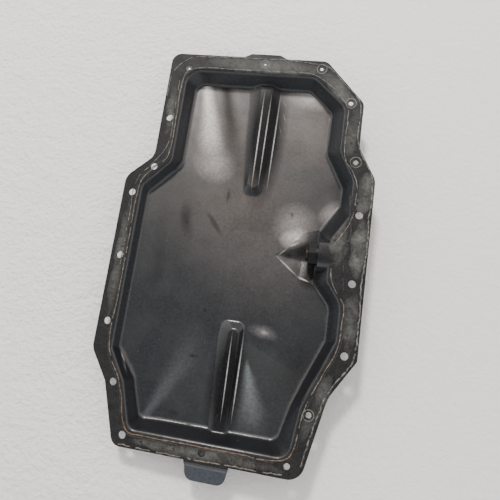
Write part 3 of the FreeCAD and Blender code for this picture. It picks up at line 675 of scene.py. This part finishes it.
# how much the width and height vary, and the least share of the height that is left
LUMPINESS = 0.9
LEAST_HEIGHT = 0.35
# the noise at which a line breaks where none of it is missing, and the fewest sections of a run
BREAK_LEVEL = -0.5
FEWEST_SECTIONS = 3


def carried(name, bm, mat):
    """A finished mesh piece of the pan."""
    mesh = bpy.data.meshes.new(name)
    bm.to_mesh(mesh)
    bm.free()
    mesh.polygons.foreach_set("use_smooth", [True] * len(mesh.polygons))
    obj = bpy.data.objects.new(name, mesh)
    bpy.context.scene.collection.objects.link(obj)
    mesh.materials.append(mat)
    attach(obj, "pan")


def smooth_route(points):
    """Evenly spaced places on a smooth curve through points given in millimetres."""
    curve = bpy.data.curves.new("route", "CURVE")
    curve.dimensions = "3D"
    curve.resolution_u = 24
    spline = curve.splines.new("BEZIER")
    spline.bezier_points.add(len(points) - 1)
    for knot, point in zip(spline.bezier_points, points):
        knot.co = (*point, 0.0)
        knot.handle_left_type = knot.handle_right_type = "AUTO"
    obj = bpy.data.objects.new("route", curve)
    mesh = bpy.data.meshes.new_from_object(obj)
    dense = [v.co.copy() for v in mesh.vertices]
    bpy.data.objects.remove(obj)
    bpy.data.curves.remove(curve)
    bpy.data.meshes.remove(mesh)
    places = [dense[0]]
    for point in dense[1:]:
        while (point - places[-1]).length >= SECTION_GAP:
            places.append(places[-1] + (point - places[-1]).normalized() * SECTION_GAP)
    return places


def line_section(route, i, here, width, height, wander):
    """The corners of the line's section at place i of its route."""
    ahead = route[min(i + 1, len(route) - 1)] - route[max(i - 1, 0)]
    side = Vector((-ahead.y, ahead.x, 0)).normalized()
    lump = sum(noise.noise(here * pitch) * share for pitch, share in WIDTH_LUMPS)
    half = width / 2 * (1.0 + LUMPINESS * lump)
    rise = noise.noise(here * HEIGHT_PITCH + HEIGHT_START)
    tall = height * max(LEAST_HEIGHT, 1.0 + LUMPINESS * rise)
    drift = wander * noise.noise(here * WANDER_PITCH + WANDER_START)
    centre = route[i] + side * drift
    section = []
    for across, up in SECTION:
        spot = centre + side * (across * half)
        section.append(Vector((spot.x, spot.y, spot.z + up * tall)) * MM)
    return section


def bead_of_sealant(name, points, mat, width, height, seed, missing, wander=0.35):
    """A squeezed line of sealant: low, uneven and broken in places; a higher missing breaks it more."""
    route = smooth_route(points)
    runs = [[]]
    for i, place in enumerate(route):
        here = Vector((place.x * LUMP_PITCH, place.y * LUMP_PITCH, seed * SEED_STEP))
        if noise.noise(here * BREAK_PITCH + BREAK_START) < BREAK_LEVEL + missing:
            runs.append([])
        else:
            runs[-1].append(line_section(route, i, here, width, height, wander))
    bm = bmesh.new()
    for run in runs:
        if len(run) < FEWEST_SECTIONS:
            continue
        rings = [[bm.verts.new(spot) for spot in section] for section in run]
        for low, high in zip(rings, rings[1:]):
            for k in range(len(SECTION)):
                j = (k + 1) % len(SECTION)
                bm.faces.new((low[k], low[j], high[j], high[k]))
        bm.faces.new(rings[0])
        bm.faces.new(rings[-1])
    bmesh.ops.recalc_face_normals(bm, faces=bm.faces)
    carried(name, bm, mat)


# along the inner edge: down the left side, along the bottom, up the right side and back along the top
bead_of_sealant("sealant_inner_left", (
    (-72, 204.5), (-79, 199), (-81.2, 188), (-81.0, 150), (-81.2, 116), (-83.5, 104), (-96, 91),
    (-105, 79), (-107, 68), (-107, 20), (-107, -40), (-107, -84), (-103, -97), (-91, -117), (-85, -132),
), SEALANT_TAN, width=1.0, height=0.3, seed=1, missing=0.05)
bead_of_sealant("sealant_inner_bottom", (
    (-85, -132), (-79, -154), (-73, -161.5), (-60, -162.4), (-20, -162.4), (30, -162.4), (62, -162.2),
    (74, -158), (79, -148),
), SEALANT_RUST, width=1.3, height=0.3, seed=2, missing=0.0)
bead_of_sealant("sealant_inner_right_low", (
    (79, -148), (83.5, -116), (95, -86), (106.5, -58), (107.6, -38), (107.3, -20), (100, -10), (94, 2),
    (93.2, 20), (94, 34), (104, 54), (107.6, 66),
), SEALANT_TAN, width=1.0, height=0.3, seed=3, missing=0.08)
bead_of_sealant("sealant_inner_right_up", (
    (107.6, 66), (107.5, 96), (102, 108), (95, 118), (92.6, 130), (92.4, 160), (91.5, 172), (84, 183),
    (62, 202), (52, 206.2), (20, 206.4), (-30, 206.4), (-60, 206.2), (-72, 204.5),
), SEALANT_GREY, width=0.9, height=0.3, seed=4, missing=0.1)
# the dark line beside it, and a second pale line further out on the left
bead_of_sealant("sealant_dark_left", (
    (-82.6, 190), (-82.4, 150), (-82.8, 117), (-85, 105), (-97, 92), (-106.5, 80), (-108.4, 68),
    (-108.4, 20), (-108.4, -40), (-108.4, -84), (-104.5, -98), (-92.5, -118), (-86.6, -132), (-80.6, -155),
    (-74, -163.2), (-60, -164.2), (-20, -164.2), (30, -164.2), (63, -164),
), SEALANT_DARK, width=0.8, height=0.2, seed=11, missing=0.05, wander=0.2)
bead_of_sealant("sealant_dark_right", (
    (81, -148), (85.3, -116), (96.8, -86), (108.3, -58), (109.4, -38), (109.0, -20),
), SEALANT_DARK, width=0.8, height=0.2, seed=12, missing=0.05, wander=0.2)
bead_of_sealant("sealant_second_left", (
    (-84.5, 190), (-84.0, 150), (-85, 118), (-98, 96), (-109.5, 80), (-111, 40), (-111, -10),
), SEALANT_GREY, width=0.8, height=0.25, seed=5, missing=0.3)
# along the outer edge, from the top left corner round the right side to the bottom, and a dark line in
# the recess on the right
bead_of_sealant("sealant_corner", (
    (-60, 218.6), (-70, 218.4), (-79, 215), (-88, 207), (-93.5, 198), (-95.2, 186), (-94.8, 172),
), SEALANT_TAN, width=0.9, height=0.35, seed=6, missing=0.1)
bead_of_sealant("sealant_top", (
    (-60, 218.8), (-30, 219.5), (0, 219.6), (25, 219.8), (52, 217.6), (66, 215.4), (73, 211), (86, 197),
    (97, 187), (102.8, 178), (104, 160), (104.2, 140), (108.5, 127), (116, 114), (121, 104), (122.3, 96),
), SEALANT_GREY, width=1.2, height=0.6, seed=7, missing=-0.15)
bead_of_sealant("sealant_outer_right", (
    (122.3, 96), (122.6, 70), (121.6, 62), (122.5, 52), (122.6, 20), (121.2, 4), (122.4, -20), (122.2, -50),
    (121.5, -66), (113, -82), (103, -97), (98, -110), (93, -130), (88.5, -150), (86, -164),
), SEALANT_GREY, width=1.4, height=0.8, seed=8, missing=-0.25, wander=1.0)
bead_of_sealant("sealant_recess", (
    (102.5, 84), (104.5, 66), (107, 44), (106, 40), (102.8, 37), (103.2, 20), (104.6, 3), (106.5, -8),
), SEALANT_DARK, width=1.5, height=0.5, seed=9, missing=0.0, wander=0.2)
bead_of_sealant("sealant_outer_bottom", (
    (-80, -173), (-50, -173.8), (-24, -173.8), (-12, -174.2), (6, -173.9), (22, -173.2), (50, -173.4),
    (74, -172),
), SEALANT_TAN, width=1.2, height=0.35, seed=10, missing=0.35, wander=0.8)

# sealant that has been squeezed into the bolt holes, in millimetres: name, x, y, radius of the opening
# left in it, how far that opening lies off the hole's centre, material
HOLE_FILLS = (
    ("top_left", -77, 204.5, 1.3, (0.4, 0.3), SEALANT_PLUG),
    ("ear", 3, 214.5, 1.2, (0.2, -0.2), SEALANT_PLUG),
    ("top_right", 61.5, 212.5, 1.7, (-0.2, 0.2), SEALANT_DARK),
    ("right_top", 94, 177.5, 2.2, (-0.2, 0.1), SEALANT_PLUG),
    ("right_shoulder", 104.5, 117, 2.3, (0.1, 0.1), SEALANT_PLUG),
    ("right_low", 87.5, -120, 2.6, (0.2, 0.1), SEALANT_PLUG),
    ("corner", 74, -165, 2.7, (0.2, 0.1), SEALANT_PLUG),
    ("bottom", -2, -167, 0.2, (0, 0), SEALANT_DARK),
)
FILL_DEPTH = 1.4
FILL_SIDES = 28
# rings wider than this sit on the hole's own wall, and narrower ones are uneven and off its centre
SEATED_RADIUS = 2.9
FILL_UNEVENNESS = 0.16
# an opening smaller than this is closed
CLOSED_RADIUS = 0.3


def hole_fill(name, x, y, opening, shift, mat):
    """Sealant in a bolt hole at x and y, leaving a small opening or none."""
    bm = bmesh.new()
    rings = []
    for radius, level in (
        (3.55, -FILL_DEPTH), (3.5, -0.5), (3.0, -0.25),
        (opening + 0.7, -0.35), (opening, -0.7), (opening, -FILL_DEPTH),
    ):
        loose = radius <= SEATED_RADIUS
        shift_x, shift_y = shift if loose else (0, 0)
        ring = []
        for i in range(FILL_SIDES):
            angle = 2 * math.pi * i / FILL_SIDES
            unevenness = FILL_UNEVENNESS * noise.noise(Vector((i * 0.5, radius, x))) if loose else 0.0
            away = radius * (1.0 + unevenness)
            ring.append(bm.verts.new(mm(
                x + shift_x + away * math.cos(angle), y + shift_y + away * math.sin(angle), level,
            )))
        rings.append(ring)
    closed = opening < CLOSED_RADIUS
    joined = rings if closed else rings + rings[:1]
    for low, high in zip(joined, joined[1:]):
        for i in range(FILL_SIDES):
            j = (i + 1) % FILL_SIDES
            bm.faces.new((low[i], low[j], high[j], high[i]))
    if closed:
        bm.faces.new(rings[-1])
        bm.faces.new(rings[0][::-1])
    bmesh.ops.recalc_face_normals(bm, faces=bm.faces)
    carried(name, bm, mat)


for label, *fill in HOLE_FILLS:
    hole_fill("hole_fill_" + label, *fill)


# ------------------------------------------------------------------ room: ground, light, sky, camera

# how far the resting pan leans about Y, as rise and run in millimetres, and a point that it leans about
LEAN = (5.6, 88.0)
RESTING_POINT = mm(78, 20, -30.4)


def ground_paint():
    """Pale paint, rougher towards the left, and whiter there as painted light."""
    mat, t, shader = material("ground_paint")
    place = t.place()
    broad = t.noise(place, scale=3.0, detail=4.0, rough=0.6)
    fine = t.math("ADD", t.noise(place, scale=210.0, detail=6.0, rough=0.65),
                  t.noise(place, scale=55.0, rough=0.6))
    leftward_lit_and_rough = t.step(t.split(place)[0], 0.1, -0.25)
    colour = t.mix(broad, rgb(0.86, 0.835, 0.805), rgb(0.90, 0.885, 0.87))
    # painted light: the ground whiter towards the left
    t.set(shader.inputs["Base Color"], t.mix(leftward_lit_and_rough, colour, rgb(0.94, 0.94, 0.94)))
    t.set(shader.inputs["Roughness"], 0.8)
    t.set(shader.inputs["Normal"], t.bump(fine, 4 * MM, t.mix(leftward_lit_and_rough, 0.35, 0.9, "FLOAT")))
    return mat


def ground():
    """The painted floor that the pan lies on, tilted as the pan's own resting plane is."""
    mesh = bpy.data.meshes.new("ground")
    bm = bmesh.new()
    bmesh.ops.create_grid(bm, x_segments=2, y_segments=2, size=3.0)
    bm.to_mesh(mesh)
    bm.free()
    obj = bpy.data.objects.new("ground", mesh)
    obj.matrix_world = Matrix.Translation(RESTING_POINT) @ Matrix.Rotation(math.atan2(*LEAN), 4, "Y")
    bpy.context.scene.collection.objects.link(obj)
    mesh.materials.append(ground_paint())


def key_light():
    """One warm light beyond the top of the pan, aimed at its middle."""
    light = bpy.data.lights.new("key", "AREA")
    light.shape = "RECTANGLE"
    light.size = 0.3
    light.size_y = 0.24
    light.energy = 50.0
    light.color = (1.0, 0.975, 0.95)
    obj = bpy.data.objects.new("key", light)
    obj.location = (-0.35, 1.5, 1.55)
    obj.rotation_euler = (-obj.location).to_track_quat("-Z", "Y").to_euler()
    bpy.context.scene.collection.objects.link(obj)


def soft_room():
    """A bright band of sky beyond the top of the pan, pale walls all round and a darker ceiling."""
    ceiling = rgb(0.24, 0.265, 0.30)
    bright_side = rgb(1.9, 1.68, 1.52)
    walls = rgb(1.75, 1.735, 1.71)
    world = bpy.data.worlds.new("soft_room")
    bpy.context.scene.world = world
    world.use_nodes = True
    world.node_tree.nodes.clear()
    t = Tree(world.node_tree)
    _, towards_top, upward = t.split(t.node("ShaderNodeTexCoord").outputs["Generated"])
    band = t.times(t.step(towards_top, 0.02, 0.36), t.step(towards_top, 0.95, 0.6, to_low=0.3))
    sky = t.mix(band, ceiling, bright_side)
    sky = t.mix(t.step(upward, 0.82, 0.5, to_high=0.8), sky, walls)
    background = t.node("ShaderNodeBackground")
    t.set(background.inputs["Color"], sky)
    t.set(background.inputs["Strength"], 1.0)
    t.links.new(background.outputs[0], t.node("ShaderNodeOutputWorld").inputs[0])


def camera():
    """Looks down on the pan from above its middle, a little from the right and the bottom."""
    data = bpy.data.cameras.new("camera")
    data.sensor_width = 36.0
    data.lens = 30.96
    data.clip_start = 0.01
    obj = bpy.data.objects.new("camera", data)
    right = Vector((0.9821, 0.1416, -0.1241))
    up = Vector((-0.1189, 0.9774, 0.1748))
    back = Vector((0.1460, -0.1570, 0.9768))
    turn = Matrix((right, up, back)).transposed()
    obj.matrix_world = Matrix.Translation((0.0751, -0.0443, 0.4007)) @ turn.to_4x4()
    bpy.context.scene.collection.objects.link(obj)
    bpy.context.scene.camera = obj


ground()
key_light()
soft_room()
camera()

bpy.context.view_layer.update()
